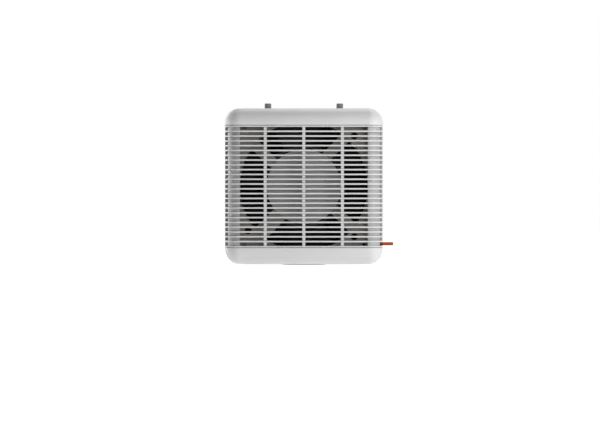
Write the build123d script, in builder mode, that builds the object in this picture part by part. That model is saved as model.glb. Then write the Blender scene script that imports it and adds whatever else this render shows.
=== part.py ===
from build123d import *
import os
from math import cos, radians, sin, sqrt, tan

os.makedirs("parts", exist_ok=True)

# Compact axial fan, standard 120 mm size
fan_size = 119.0
fan_depth = 38.0
bore_margin = 2.0
hole_inset = 7.0
flange_thickness = 4.5
flange_corner = 6.0
duct_wall = 1.9
fan_hole_diameter = 4.3
pocket_diameter = 6.2
pocket_offset = 5.5
strut_width = 9.0
strut_thickness = 4.4
strut_angle = 45.0
lead_strut_extra = 4.4
hub_radius = 33.0
hub_cover_thickness = 0.8

# Case
side_room = 6.3
end_room = 7.3
front_room = 5.0
rear_room = 24.4
wall = 2.2
rear_wall = 2.4
edge_radius = 13.4
cap_height = 15.0
seam_reveal = 0.5
seam_reveal_depth = 0.9
lip_depth = 3.0
lip_wall = 1.2
lip_clearance = 0.2

# Front grille
slat_depth = 2.8
slat_height = 1.5
grille_wall = 1.4
slot_count = 25
end_slot_extra = 0.45
rail_height = 1.5
rib_pitch = 34.0
rib_width = 2.6
rib_setback = 0.9
window_width = 112.8
groove_reach = 28.0

# Fan plate and rear grille
plate_thickness = 2.0
plate_clearance = 0.3
ledge_depth = 4.0
ledge_width = 8.0
rear_side_margin = 20.5
rear_low_margin = 22.0
rear_top_margin = 11.0
rear_slot_margin = 4.0
rear_flange_margin = 4.5
rear_flange_thickness = 2.0

# Fasteners
rod_diameter = 4.0
rod_inset = 2.5
rod_head_diameter = 7.0
rod_head_height = 4.0
rod_thread = 7.0
boss_diameter = 7.8
foot_boss_diameter = 9.8
thread_fit = 0.05
hole_clearance = 0.15
small_screw = 3.0
small_head = 5.2
small_head_height = 2.0
fan_nut_flats = 7.0
fan_nut_height = 3.2
shank_sides = 8

# Studs on the top
stud_diameter = 6.0
stud_neck = 7.0
stud_spacing = 64.0
stud_proud = 4.9
stud_chamfer = 0.3
stud_head_diameter = 9.0
stud_head_height = 1.5
strap_thickness = 2.0
strap_width = 16.0
strap_margin = 12.0
strap_screw_spacing = 32.0
strap_boss_diameter = 7.0
strap_screw_head = 10.0

# Copper stub, foot, inlet and board
probe_diameter = 2.9
probe_proud = 9.4
probe_inside = 7.5
probe_from_front = 25.0
bush_diameter = 5.6
bush_length = 5.0
foot_diameter = 39.0
foot_proud = 0.8
foot_recess = 1.5
foot_chamfer = 0.5
inlet_x = -30.0
inlet_rise = 9.0
inlet_flange = 11.0
inlet_flange_thickness = 1.2
inlet_barrel = 8.0
inlet_length = 14.0
inlet_socket = 5.6
inlet_pin = 2.0
inlet_nut_flats = 10.5
inlet_nut_height = 2.0
board_length = 80.0
board_width = 18.0
board_thickness = 1.6
board_rise = 3.5
board_inset = 3.5
terminal_length = 12.0
terminal_width = 10.0
terminal_height = 8.0
capacitor_diameter = 8.0
capacitor_height = 9.0
driver_length = 16.0
driver_width = 9.0
driver_height = 6.0
lead_diameter = 1.8
lead_sides = 6
lead_slot = 2.2
lead_angle = 230.0
lead_offset = 2.6

# Motor and impeller
blade_count = 6
blade_phase = 27.0
blade_sweep = 62.0
blade_height = 24.0
blade_camber = 2.4
blade_root_thickness = 2.4
blade_tip_thickness = 1.6
tip_clearance = 0.7
rotor_radius = 37.5
rotor_wall = 2.0
rotor_gap = 1.3
rotor_back_gap = 2.0
cup_wall = 1.4
magnet_thickness = 3.4
air_gap = 0.7
core_length = 12.0
core_back = 5.5
tooth_width = 9.0
shoe_thickness = 3.0
coil_build = 3.6
shaft_diameter = 5.0
bearing_diameter = 14.0
bearing_width = 5.0
cage_width = 3.0
ring_wall = 1.3
tube_wall = 1.5
running_fit = 0.03
clip_thickness = 0.7
clip_diameter = 8.4
washer_thickness = 0.8
motor_board_thickness = 1.2
motor_board_gap = 2.0
coil_gap = 0.6

# Derived sizes of the fan
fan_bore = fan_size - 2 * bore_margin
fan_hole_pitch = fan_size - 2 * hole_inset
pocket_reach = fan_bore / 2 + pocket_offset
lead_reach = fan_bore / 2 + duct_wall + lead_offset

# Derived sizes of the case
skin = slat_depth + grille_wall
case_width = fan_size + 2 * (side_room + skin)
case_height = fan_size + 2 * (end_room + wall)
case_depth = skin + front_room + fan_depth + plate_thickness + rear_room + rear_wall
base_z = foot_proud
top_z = base_z + case_height
mid_z = base_z + case_height / 2
low_seam = base_z + cap_height
high_seam = top_z - cap_height
front_y = -case_depth / 2
back_y = case_depth / 2
fan_front = front_y + skin + front_room
fan_back = fan_front + fan_depth
split_y = fan_back + plate_thickness
groove_end = front_y + groove_reach

# Derived sizes of the slots
grille_height = case_height - 2 * cap_height
slot_field = grille_height - 2 * rail_height
slot_height = (slot_field - (slot_count - 1) * slat_height - 2 * end_slot_extra) / slot_count
slot_pitch = slot_height + slat_height
end_slot = slot_height + end_slot_extra
probe_z = low_seam + rail_height + end_slot / 2
probe_y = front_y + probe_from_front

rear_window_width = case_width - 2 * rear_side_margin
rear_window_height = grille_height - rear_low_margin - rear_top_margin
rear_slot_length = rear_window_width - 2 * rear_slot_margin
rear_slot_count = int((rear_window_height - rear_slot_margin) / slot_pitch)

# Derived places of the fasteners
rod_x = fan_size / 2 + rod_inset
rod_front = probe_y - (rod_diameter + bush_diameter) / 2 - 1.2
rod_rear = back_y - edge_radius - 3.0
rod_places = [(x, y) for x in (-rod_x, rod_x) for y in (rod_front, rod_rear)]
plate_screw_rise = grille_height * 0.37
rod_seat = base_z + 7.0

# Derived sizes of the motor
hub_front = fan_front + hub_cover_thickness
hub_back = fan_front + strut_thickness
rotor_front = hub_back + rotor_gap
rotor_back = fan_back - rotor_back_gap
blade_tip = fan_bore / 2 - tip_clearance
cup_radius = rotor_radius - rotor_wall
magnet_radius = cup_radius - cup_wall
core_radius = magnet_radius - magnet_thickness - air_gap
tube_radius = bearing_diameter / 2 + tube_wall
tube_bore = bearing_diameter / 2 - ring_wall
tube_end = rotor_back - rotor_wall - cup_wall - 2.5
motor_board_y = hub_back + motor_board_gap + motor_board_thickness
core_mid = motor_board_y + coil_gap + coil_build + core_length / 2
front_bearing = hub_back + 0.6
rear_bearing = tube_end - bearing_width - 0.2


def facing(y, z=mid_z):
    return Plane(origin=(0, y, z), x_dir=(1, 0, 0), z_dir=(0, -1, 0))


def band(z, outer, inner, low_y, high_y):
    with BuildSketch(Plane.XY.offset(z)) as ring:
        RectangleRounded(case_width - 2 * outer, case_depth - 2 * outer, edge_radius - outer)
        RectangleRounded(
            case_width - 2 * inner, case_depth - 2 * inner, edge_radius - inner, mode=Mode.SUBTRACT
        )
        with Locations((0, (low_y + high_y) / 2)):
            Rectangle(case_width + 20, high_y - low_y, mode=Mode.INTERSECT)
    return ring.sketch


def at_rods(z):
    return [(x, y, z) for x, y in rod_places]


on_floor = (Align.CENTER, Align.CENTER, Align.MIN)
front_lip = skin + lip_clearance
rear_lip = rear_wall + lip_clearance

# Hollow of a cap, standing on the seam
with BuildPart() as cap_hollow:
    Box(case_width - 2 * wall, case_depth - 2 * wall, cap_height - wall, align=on_floor)
    fillet(
        cap_hollow.edges().filter_by(Axis.Z) + cap_hollow.faces().sort_by(Axis.Z)[-1].edges(),
        radius=edge_radius - wall,
    )

# Top cap: soft-edged shell with a register lip, rod bosses and strap bosses
with BuildPart() as top_cap:
    with Locations((0, 0, high_seam)):
        Box(case_width, case_depth, cap_height, align=on_floor)
    fillet(
        top_cap.edges().filter_by(Axis.Z) + top_cap.faces().sort_by(Axis.Z)[-1].edges(),
        radius=edge_radius,
    )
    add(cap_hollow.part.moved(Location((0, 0, high_seam))), mode=Mode.SUBTRACT)
    extrude(band(high_seam, wall / 2, front_lip + lip_wall, front_y - 1, split_y), amount=lip_wall + 0.8)
    extrude(band(high_seam, wall / 2, rear_lip + lip_wall, split_y, back_y + 1), amount=lip_wall + 0.8)
    extrude(
        band(high_seam - lip_depth, front_lip, front_lip + lip_wall, front_y - 1, fan_front + 1.5),
        amount=lip_depth + 1,
    )
    extrude(
        band(high_seam - lip_depth, rear_lip, rear_lip + lip_wall, rod_rear + 3, back_y + 1),
        amount=lip_depth + 1,
    )
    with Locations(*at_rods(high_seam)):
        Cylinder(boss_diameter / 2, rod_thread + 2.0, align=on_floor)
    with Locations(*at_rods(high_seam - 1)):
        Cylinder(rod_diameter / 2 + thread_fit, rod_thread + 1.5, align=on_floor, mode=Mode.SUBTRACT)
    extrude(
        band(high_seam, -1, seam_reveal_depth, front_y - 2, back_y + 2),
        amount=seam_reveal,
        mode=Mode.SUBTRACT,
    )
    with Locations((0, 0, top_z - wall - strap_thickness)):
        with GridLocations(strap_screw_spacing, 1, 2, 1):
            Cylinder(strap_boss_diameter / 2, strap_thickness + 0.5, align=on_floor)
    with Locations((0, 0, top_z - wall - strap_thickness - 1)):
        with GridLocations(strap_screw_spacing, 1, 2, 1):
            Cylinder(
                small_screw / 2 + thread_fit, strap_thickness + 2.4, align=on_floor, mode=Mode.SUBTRACT
            )
    with Locations((0, 0, top_z - wall - 1)):
        with GridLocations(stud_spacing, 1, 2, 1):
            Cylinder(stud_neck / 2 + hole_clearance, wall + 2, align=on_floor, mode=Mode.SUBTRACT)
top_cap.part.label = "top_cap"
export_step(top_cap.part, "parts/top_cap.step")

# Bottom cap: the same shell turned over, with counterbored bosses, a foot recess and board posts
board_y = back_y - edge_radius - 5.0
board_z = base_z + wall + board_rise
board_posts = [(x, board_y) for x in (-board_length / 2 + board_inset, board_length / 2 - board_inset)]
with BuildPart() as bottom_cap:
    with Locations((0, 0, base_z)):
        Box(case_width, case_depth, cap_height, align=on_floor)
    fillet(
        bottom_cap.edges().filter_by(Axis.Z) + bottom_cap.faces().sort_by(Axis.Z)[0].edges(),
        radius=edge_radius,
    )
    add(cap_hollow.part.rotate(Axis.X, 180).moved(Location((0, 0, low_seam))), mode=Mode.SUBTRACT)
    rim = low_seam - lip_wall - 0.8
    extrude(band(rim, wall / 2, front_lip + lip_wall, front_y - 1, split_y), amount=lip_wall + 0.8)
    extrude(band(rim, wall / 2, rear_lip + lip_wall, split_y, back_y + 1), amount=lip_wall + 0.8)
    extrude(
        band(low_seam - 1, front_lip, front_lip + lip_wall, front_y - 1, fan_front + 1.5),
        amount=lip_depth + 1,
    )
    extrude(
        band(low_seam - 1, rear_lip, rear_lip + lip_wall, rod_rear + 3, back_y + 1),
        amount=lip_depth + 1,
    )
    with Locations(*at_rods(rod_seat - 2.4)):
        Cylinder(foot_boss_diameter / 2, low_seam - rod_seat + 2.4, align=on_floor)
    with Locations(*at_rods(base_z - 1)):
        Cylinder(rod_head_diameter / 2 + 0.4, rod_seat - base_z + 1, align=on_floor, mode=Mode.SUBTRACT)
        Cylinder(rod_diameter / 2 + hole_clearance, cap_height + 5, align=on_floor, mode=Mode.SUBTRACT)
    extrude(
        band(low_seam - seam_reveal, -1, seam_reveal_depth, front_y - 2, back_y + 2),
        amount=seam_reveal,
        mode=Mode.SUBTRACT,
    )
    with Locations((0, 0, base_z + wall - 0.5)):
        Cylinder(foot_diameter / 2 + 2.5, foot_recess + 0.3, align=on_floor)
    with Locations((0, 0, base_z - 1)):
        Cylinder(foot_diameter / 2 + hole_clearance, foot_recess + 1, align=on_floor, mode=Mode.SUBTRACT)
    with Locations(*[(x, y, base_z + wall - 0.5) for x, y in board_posts]):
        Cylinder(small_screw / 2 + 1.6, board_rise + 0.5, align=on_floor)
    with Locations(*[(x, y, base_z + wall) for x, y in board_posts]):
        Cylinder(small_screw / 2 + thread_fit, board_rise + 1, align=on_floor, mode=Mode.SUBTRACT)
bottom_cap.part.label = "bottom_cap"
export_step(bottom_cap.part, "parts/bottom_cap.step")

# Front grille: slats round the front and its corners, a wall behind them with a window, three ribs
with BuildPart() as front_grille:
    extrude(band(low_seam, 0, skin, front_y - 1, split_y), amount=grille_height)
    for step in range(slot_count):
        slot_z = low_seam + rail_height + end_slot_extra + step * slot_pitch
        slot_low = slot_z - (end_slot_extra if step == 0 else 0)
        slot_high = slot_z + slot_height + (end_slot_extra if step == slot_count - 1 else 0)
        extrude(
            band(slot_low, -1, slat_depth, front_y - 2, groove_end),
            amount=slot_high - slot_low,
            mode=Mode.SUBTRACT,
        )
    with BuildSketch(facing(front_y + skin + 1)):
        Rectangle(window_width, slot_field)
    extrude(amount=grille_wall + 1, mode=Mode.SUBTRACT)
    with BuildSketch(facing(front_y + skin)):
        with GridLocations(rib_pitch, 1, 3, 1):
            Rectangle(rib_width, slot_field + rail_height)
    extrude(amount=skin - rib_setback)
    with BuildSketch(Plane.YZ.offset(case_width / 2 - skin - 1)):
        with Locations((probe_y, probe_z)):
            Circle(probe_diameter / 2 + thread_fit)
    extrude(amount=skin + 2, mode=Mode.SUBTRACT)
front_grille.part.label = "front_grille"
export_step(front_grille.part, "parts/front_grille.step")

# Rear housing: plain sides and back with the window of the intake grille and ledges for the fan plate
inlet_z = low_seam + inlet_rise
rear_mid = low_seam + rear_low_margin + rear_window_height / 2
rear_inner = back_y - rear_wall
rear_screw_x = rear_window_width / 2 + rear_flange_margin / 2
rear_screw_z = rear_window_height / 2 - 4.0
with BuildPart() as rear_housing:
    extrude(band(low_seam, 0, rear_wall, split_y, back_y + 1), amount=grille_height)
    with BuildSketch(Plane.XY.offset(low_seam)):
        with Locations((0, split_y + ledge_depth / 2)):
            with GridLocations(case_width - ledge_width - 1.0, 1, 2, 1):
                Rectangle(ledge_width, ledge_depth)
    extrude(amount=grille_height)
    with BuildSketch(facing(back_y + 1, rear_mid)):
        Rectangle(rear_window_width, rear_window_height)
    extrude(amount=rear_wall + 2, mode=Mode.SUBTRACT)
    with BuildSketch(facing(back_y + 1, inlet_z)):
        with Locations((inlet_x, 0)):
            Circle(inlet_barrel / 2 + hole_clearance)
    extrude(amount=rear_wall + 2, mode=Mode.SUBTRACT)
    with BuildSketch(facing(split_y + ledge_depth - 0.6)):
        with GridLocations(2 * rod_x, 2 * plate_screw_rise, 2, 2):
            Circle(small_screw / 2 + thread_fit)
    extrude(amount=ledge_depth, mode=Mode.SUBTRACT)
    with BuildSketch(facing(rear_inner + rear_wall - 0.7, rear_mid)):
        with GridLocations(2 * rear_screw_x, 2 * rear_screw_z, 2, 2):
            Circle(0.9 + thread_fit)
    extrude(amount=rear_wall, mode=Mode.SUBTRACT)
rear_housing.part.label = "rear_housing"
export_step(rear_housing.part, "parts/rear_housing.step")

# Rear grille: slotted intake panel, set flush in the window from the inside
with BuildPart() as rear_grille:
    with BuildSketch(facing(back_y, rear_mid)):
        Rectangle(rear_window_width - 2 * lip_clearance, rear_window_height - 2 * lip_clearance)
    extrude(amount=rear_wall)
    with BuildSketch(facing(rear_inner, rear_mid)):
        RectangleRounded(
            rear_window_width + 2 * rear_flange_margin,
            rear_window_height + 2 * rear_flange_margin,
            rear_flange_margin,
        )
    extrude(amount=rear_flange_thickness)
    with BuildSketch(facing(back_y + 1, rear_mid)):
        with GridLocations(1, slot_pitch, 1, rear_slot_count):
            Rectangle(rear_slot_length, slot_height)
        with GridLocations(rib_pitch, 1, 3, 1):
            Rectangle(rib_width, rear_window_height, mode=Mode.SUBTRACT)
    extrude(amount=rear_wall + rear_flange_thickness + 2, mode=Mode.SUBTRACT)
    with BuildSketch(facing(rear_inner + 0.5, rear_mid)):
        with GridLocations(2 * rear_screw_x, 2 * rear_screw_z, 2, 2):
            Circle(0.9 + hole_clearance)
    extrude(amount=rear_flange_thickness + 1, mode=Mode.SUBTRACT)
rear_grille.part.label = "rear_grille"
export_step(rear_grille.part, "parts/rear_grille.step")

# Screws of the rear grille, driven from the inside
with BuildPart() as rear_grille_screws:
    with BuildSketch(facing(rear_inner + rear_wall - 0.8, rear_mid)):
        with GridLocations(2 * rear_screw_x, 2 * rear_screw_z, 2, 2):
            RegularPolygon(0.9, shank_sides)
    extrude(amount=rear_wall - 0.8 + rear_flange_thickness)
    with BuildSketch(facing(rear_inner - rear_flange_thickness, rear_mid)):
        with GridLocations(2 * rear_screw_x, 2 * rear_screw_z, 2, 2):
            RegularPolygon(1.7, 6)
    extrude(amount=1.3)
rear_grille_screws.part.label = "rear_grille_screws"
export_step(rear_grille_screws.part, "parts/rear_grille_screws.step")

# Fan plate: carries the fan and closes the way round it
with BuildPart() as fan_plate:
    with BuildSketch(facing(split_y)):
        Rectangle(case_width - 2 * skin - 2 * plate_clearance, grille_height - 2 * lip_depth)
        RectangleRounded(fan_size, fan_size, flange_corner)
        Circle(fan_bore / 2, mode=Mode.SUBTRACT)
        with GridLocations(fan_hole_pitch, fan_hole_pitch, 2, 2):
            Circle(fan_hole_diameter / 2, mode=Mode.SUBTRACT)
        with GridLocations(2 * rod_x, 2 * plate_screw_rise, 2, 2):
            Circle(small_screw / 2 + hole_clearance, mode=Mode.SUBTRACT)
    extrude(amount=plate_thickness)
fan_plate.part.label = "fan_plate"
export_step(fan_plate.part, "parts/fan_plate.step")

# Screws of the fan plate
with BuildPart() as plate_screws:
    with BuildSketch(facing(split_y + ledge_depth - 0.8)):
        with GridLocations(2 * rod_x, 2 * plate_screw_rise, 2, 2):
            RegularPolygon(small_screw / 2, shank_sides)
    extrude(amount=ledge_depth - 0.8 + plate_thickness)
    with BuildSketch(facing(fan_back)):
        with GridLocations(2 * rod_x, 2 * plate_screw_rise, 2, 2):
            RegularPolygon(small_head / 2, 6, rotation=30)
    extrude(amount=small_head_height)
plate_screws.part.label = "plate_screws"
export_step(plate_screws.part, "parts/plate_screws.step")

# Fan frame: two flanges, duct, four struts to the motor hub, the lead's channel and the bearing tube
lead_root = core_radius - 5.0
lead_y = hub_back - lead_slot / 2
channel_back = max(flange_thickness, strut_thickness)
strut_inner = sqrt(hub_radius**2 - strut_width**2) - 0.8
strut_outer = fan_bore / 2 + duct_wall / 2
strut_length = strut_outer - strut_inner
strut_middle = (strut_outer + strut_inner) / 2
with BuildPart() as fan_frame:
    with BuildSketch(facing(fan_front + flange_thickness), facing(fan_back)):
        RectangleRounded(fan_size, fan_size, flange_corner)
        Circle(fan_bore / 2, mode=Mode.SUBTRACT)
        with GridLocations(fan_hole_pitch, fan_hole_pitch, 2, 2):
            Circle(fan_hole_diameter / 2, mode=Mode.SUBTRACT)
    extrude(amount=flange_thickness)
    with BuildSketch(facing(fan_back)):
        Circle(fan_bore / 2 + duct_wall)
        Circle(fan_bore / 2, mode=Mode.SUBTRACT)
    extrude(amount=fan_depth)
    with BuildSketch(facing(fan_front + flange_thickness + 1)):
        for angle in (45.0, 218.5, 315.0):
            with Locations((pocket_reach * cos(radians(angle)), pocket_reach * sin(radians(angle)))):
                Circle(pocket_diameter / 2)
    extrude(amount=flange_thickness + 2, mode=Mode.SUBTRACT)
    with BuildSketch(facing(hub_back)):
        with PolarLocations(strut_middle, 4, start_angle=strut_angle):
            Rectangle(strut_length, strut_width, align=(Align.CENTER, Align.MIN))
        with PolarLocations(strut_middle, 1, start_angle=strut_angle + 180):
            Rectangle(strut_length, lead_strut_extra, align=(Align.CENTER, Align.MAX))
        Circle(hub_radius)
    extrude(amount=strut_thickness - hub_cover_thickness)
    with BuildSketch(facing(fan_front + channel_back)):
        with PolarLocations((lead_root + lead_reach) / 2, 1, start_angle=lead_angle):
            Rectangle(lead_reach - lead_root + lead_slot, lead_slot)
    extrude(amount=fan_front + channel_back - lead_y + lead_slot / 2, mode=Mode.SUBTRACT)
    with BuildSketch(facing(tube_end)):
        Circle(tube_radius)
    extrude(amount=tube_end - hub_back + 1)
    with BuildSketch(facing(tube_end + 1)):
        Circle(tube_bore)
    extrude(amount=tube_end + 1 - hub_front + 1, mode=Mode.SUBTRACT)
    with BuildSketch(facing(tube_end + 1)):
        Circle(bearing_diameter / 2 + thread_fit)
    extrude(amount=tube_end + 1 - rear_bearing + washer_thickness, mode=Mode.SUBTRACT)
    with BuildSketch(facing(front_bearing + bearing_width)):
        Circle(bearing_diameter / 2 + thread_fit)
    extrude(amount=front_bearing + bearing_width - hub_front + 1, mode=Mode.SUBTRACT)
fan_frame.part.label = "fan_frame"
export_step(fan_frame.part, "parts/fan_frame.step")

# Cover on the motor hub, closing the bearing tube
with BuildPart() as hub_cover:
    with BuildSketch(facing(hub_front)):
        Circle(hub_radius)
    extrude(amount=hub_cover_thickness)
    chamfer(hub_cover.edges().sort_by(Axis.Y)[0], length=hub_cover_thickness / 2)
hub_cover.part.label = "hub_cover"
export_step(hub_cover.part, "parts/hub_cover.step")

# Screws through the plate and the fan's rear flange, with nuts behind the flange
with BuildPart() as fan_screws:
    with BuildSketch(facing(split_y)):
        with GridLocations(fan_hole_pitch, fan_hole_pitch, 2, 2):
            RegularPolygon(fan_hole_diameter / 2 - hole_clearance, shank_sides)
    extrude(amount=plate_thickness + flange_thickness + fan_nut_height + 1)
    with BuildSketch(facing(split_y + small_head_height + 0.6)):
        with GridLocations(fan_hole_pitch, fan_hole_pitch, 2, 2):
            RegularPolygon(fan_nut_flats / 2, 6, major_radius=False)
    extrude(amount=small_head_height + 0.6)
fan_screws.part.label = "fan_screws"
export_step(fan_screws.part, "parts/fan_screws.step")

with BuildPart() as fan_nuts:
    with BuildSketch(facing(fan_back - flange_thickness)):
        with GridLocations(fan_hole_pitch, fan_hole_pitch, 2, 2):
            RegularPolygon(fan_nut_flats / 2, 6, major_radius=False)
            Circle(fan_hole_diameter / 2 - hole_clearance + thread_fit, mode=Mode.SUBTRACT)
    extrude(amount=fan_nut_height)
fan_nuts.part.label = "fan_nuts"
export_step(fan_nuts.part, "parts/fan_nuts.step")

# Stator: laminated core with four teeth, a coil on each, and the motor board round the tube
shoe_inner = core_radius - shoe_thickness
with BuildPart() as stator_core:
    with BuildSketch(facing(core_mid + core_length / 2)):
        Circle(tube_radius + core_back)
        with PolarLocations(shoe_inner / 2, 4):
            Rectangle(shoe_inner + 1, tooth_width)
        with PolarLocations(0, 4):
            with BuildLine():
                shoe_out = CenterArc((0, 0), core_radius, -34, 68)
                shoe_in = CenterArc((0, 0), shoe_inner, -34, 68)
                Line(shoe_out @ 0, shoe_in @ 0)
                Line(shoe_out @ 1, shoe_in @ 1)
            make_face()
        Circle(tube_radius + thread_fit, mode=Mode.SUBTRACT)
    extrude(amount=core_length)
stator_core.part.label = "stator_core"
export_step(stator_core.part, "parts/stator_core.step")

coil_root = tube_radius + core_back + 0.4
coil_half = tooth_width / 2 + coil_build
coil_length = sqrt(shoe_inner**2 - coil_half**2) - coil_root - 0.3
with BuildPart() as stator_windings:
    for turn in range(4):
        across = cos(turn * radians(90))
        up = sin(turn * radians(90))
        coil_place = (coil_root * across, core_mid, mid_z + coil_root * up)
        with BuildSketch(Plane(origin=coil_place, x_dir=(0, 1, 0), z_dir=(across, 0, up))):
            RectangleRounded(core_length + 2 * coil_build, tooth_width + 2 * coil_build, coil_build)
            Rectangle(core_length + 2 * hole_clearance, tooth_width + 2 * hole_clearance, mode=Mode.SUBTRACT)
        extrude(amount=coil_length)
stator_windings.part.label = "stator_windings"
export_step(stator_windings.part, "parts/stator_windings.step")

with BuildPart() as motor_board:
    with BuildSketch(facing(motor_board_y)):
        Circle(core_radius - 1.5)
        Circle(tube_radius + thread_fit, mode=Mode.SUBTRACT)
    extrude(amount=motor_board_thickness)
motor_board.part.label = "motor_board"
export_step(motor_board.part, "parts/motor_board.step")

# Ball bearings: outer rings and ball cages stay, inner rings turn with the shaft
inner_ring = shaft_diameter / 2 + ring_wall
outer_ring = bearing_diameter / 2 - ring_wall
cage_far = (bearing_width + cage_width) / 2
with BuildPart() as bearing_outer_rings:
    with BuildSketch(facing(front_bearing + bearing_width), facing(rear_bearing + bearing_width)):
        Circle(bearing_diameter / 2)
        Circle(outer_ring, mode=Mode.SUBTRACT)
    extrude(amount=bearing_width)
bearing_outer_rings.part.label = "bearing_outer_rings"
export_step(bearing_outer_rings.part, "parts/bearing_outer_rings.step")

with BuildPart() as bearing_inner_rings:
    with BuildSketch(facing(front_bearing + bearing_width), facing(rear_bearing + bearing_width)):
        Circle(inner_ring)
        Circle(shaft_diameter / 2 + running_fit, mode=Mode.SUBTRACT)
    extrude(amount=bearing_width)
bearing_inner_rings.part.label = "bearing_inner_rings"
export_step(bearing_inner_rings.part, "parts/bearing_inner_rings.step")

with BuildPart() as ball_cages:
    with BuildSketch(facing(front_bearing + cage_far), facing(rear_bearing + cage_far)):
        Circle(outer_ring - running_fit)
        Circle(inner_ring + running_fit, mode=Mode.SUBTRACT)
    extrude(amount=cage_width)
ball_cages.part.label = "ball_cages"
export_step(ball_cages.part, "parts/ball_cages.step")

# Preload washer between the tube's rear shoulder and the rear bearing
with BuildPart() as preload_washer:
    with BuildSketch(facing(rear_bearing)):
        Circle(bearing_diameter / 2 - 0.1)
        Circle(outer_ring, mode=Mode.SUBTRACT)
    extrude(amount=washer_thickness)
preload_washer.part.label = "preload_washer"
export_step(preload_washer.part, "parts/preload_washer.step")

# Shaft with the groove of its retaining clip
shaft_front = hub_front + 0.6
clip_y = front_bearing - clip_thickness - 0.05
with BuildPart() as shaft:
    with BuildSketch(facing(rotor_back - rotor_wall)):
        Circle(shaft_diameter / 2)
    extrude(amount=rotor_back - rotor_wall - shaft_front)
    with BuildSketch(facing(clip_y + clip_thickness)):
        Circle(shaft_diameter)
        Circle(shaft_diameter / 2 - 0.5, mode=Mode.SUBTRACT)
    extrude(amount=clip_thickness, mode=Mode.SUBTRACT)
    chamfer(shaft.edges().sort_by(Axis.Y)[0], length=0.4)
shaft.part.label = "shaft"
export_step(shaft.part, "parts/shaft.step")

with BuildPart() as retaining_clip:
    with BuildSketch(facing(clip_y + clip_thickness)):
        Circle(clip_diameter / 2)
        Circle(shaft_diameter / 2 - 0.5 + running_fit, mode=Mode.SUBTRACT)
        with Locations((0, -clip_diameter / 2)):
            Rectangle(shaft_diameter - 1.2, clip_diameter, mode=Mode.SUBTRACT)
    extrude(amount=clip_thickness)
retaining_clip.part.label = "retaining_clip"
export_step(retaining_clip.part, "parts/retaining_clip.step")

# Rotor cup of sheet steel with the magnet ring inside it
with BuildPart() as rotor_cup:
    with BuildSketch(facing(rotor_back - rotor_wall)):
        Circle(cup_radius)
    extrude(amount=rotor_back - rotor_wall - rotor_front - 0.8)
    with BuildSketch(facing(rotor_back - rotor_wall - cup_wall)):
        Circle(magnet_radius)
    extrude(amount=fan_depth, mode=Mode.SUBTRACT)
    with BuildSketch(facing(rotor_back - rotor_wall)):
        Circle(shaft_diameter / 2 + ring_wall)
    extrude(amount=rotor_back - rotor_wall - rear_bearing - bearing_width - thread_fit)
    with BuildSketch(facing(rotor_back)):
        Circle(shaft_diameter / 2)
    extrude(amount=fan_depth, mode=Mode.SUBTRACT)
rotor_cup.part.label = "rotor_cup"
export_step(rotor_cup.part, "parts/rotor_cup.step")

with BuildPart() as magnet_ring:
    with BuildSketch(facing(core_mid + core_length / 2 + 2)):
        Circle(magnet_radius)
        Circle(magnet_radius - magnet_thickness, mode=Mode.SUBTRACT)
    extrude(amount=core_length + 4)
magnet_ring.part.label = "magnet_ring"
export_step(magnet_ring.part, "parts/magnet_ring.step")


# One blade: cambered sections that turn as they go out, trimmed by the hub and the bore
def blade_section(reach, thickness):
    half_wide = reach * tan(radians(blade_sweep / 2))
    half_deep = blade_height / 2
    blade_mid = (rotor_front + rotor_back) / 2
    with BuildSketch(
        Plane(origin=(reach, blade_mid, mid_z), x_dir=(0, 0, 1), z_dir=(1, 0, 0))
    ) as section:
        with BuildLine():
            lead = (-half_wide, -half_deep)
            trail = (half_wide, half_deep)
            lead_back = (-half_wide, -half_deep + thickness)
            trail_back = (half_wide, half_deep + thickness)
            ThreePointArc(lead, (0, -blade_camber), trail)
            Line(trail, trail_back)
            ThreePointArc(trail_back, (0, thickness - blade_camber), lead_back)
            Line(lead_back, lead)
        make_face()
    return section.sketch


with BuildPart() as blade:
    inner_section = blade_section(rotor_radius * 0.7, blade_root_thickness)
    outer_section = blade_section(blade_tip + 4.0, blade_tip_thickness)
    loft([inner_section, outer_section], ruled=True)
    with BuildSketch(facing(fan_back + 5)):
        Circle(blade_tip)
        Circle(rotor_radius - rotor_wall / 2, mode=Mode.SUBTRACT)
    extrude(amount=fan_depth + 10, mode=Mode.INTERSECT)

# Impeller: hub cup with its blades
with BuildPart() as impeller:
    with BuildSketch(facing(rotor_back)):
        Circle(rotor_radius)
    extrude(amount=rotor_back - rotor_front)
    fillet(impeller.edges().sort_by(Axis.Y)[-1], radius=rotor_wall / 2)
    for turn in range(blade_count):
        add(blade.part.rotate(Axis((0, 0, mid_z), (0, -1, 0)), blade_phase + turn * 360 / blade_count))
    with BuildSketch(facing(rotor_back - rotor_wall)):
        Circle(cup_radius + running_fit)
    extrude(amount=fan_depth, mode=Mode.SUBTRACT)
impeller.part.label = "impeller"
export_step(impeller.part, "parts/impeller.step")

# Tie rods with hexagon heads that clamp the caps on the middle section
with BuildPart() as tie_rods:
    with BuildSketch(Plane.XY.offset(rod_seat - rod_head_height)):
        with Locations(*rod_places):
            RegularPolygon(rod_head_diameter / 2, 6)
    extrude(amount=rod_head_height)
    with BuildSketch(Plane.XY.offset(rod_seat)):
        with Locations(*rod_places):
            RegularPolygon(rod_diameter / 2, shank_sides)
    extrude(amount=high_seam + rod_thread - rod_seat)
tie_rods.part.label = "tie_rods"
export_step(tie_rods.part, "parts/tie_rods.step")

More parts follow.
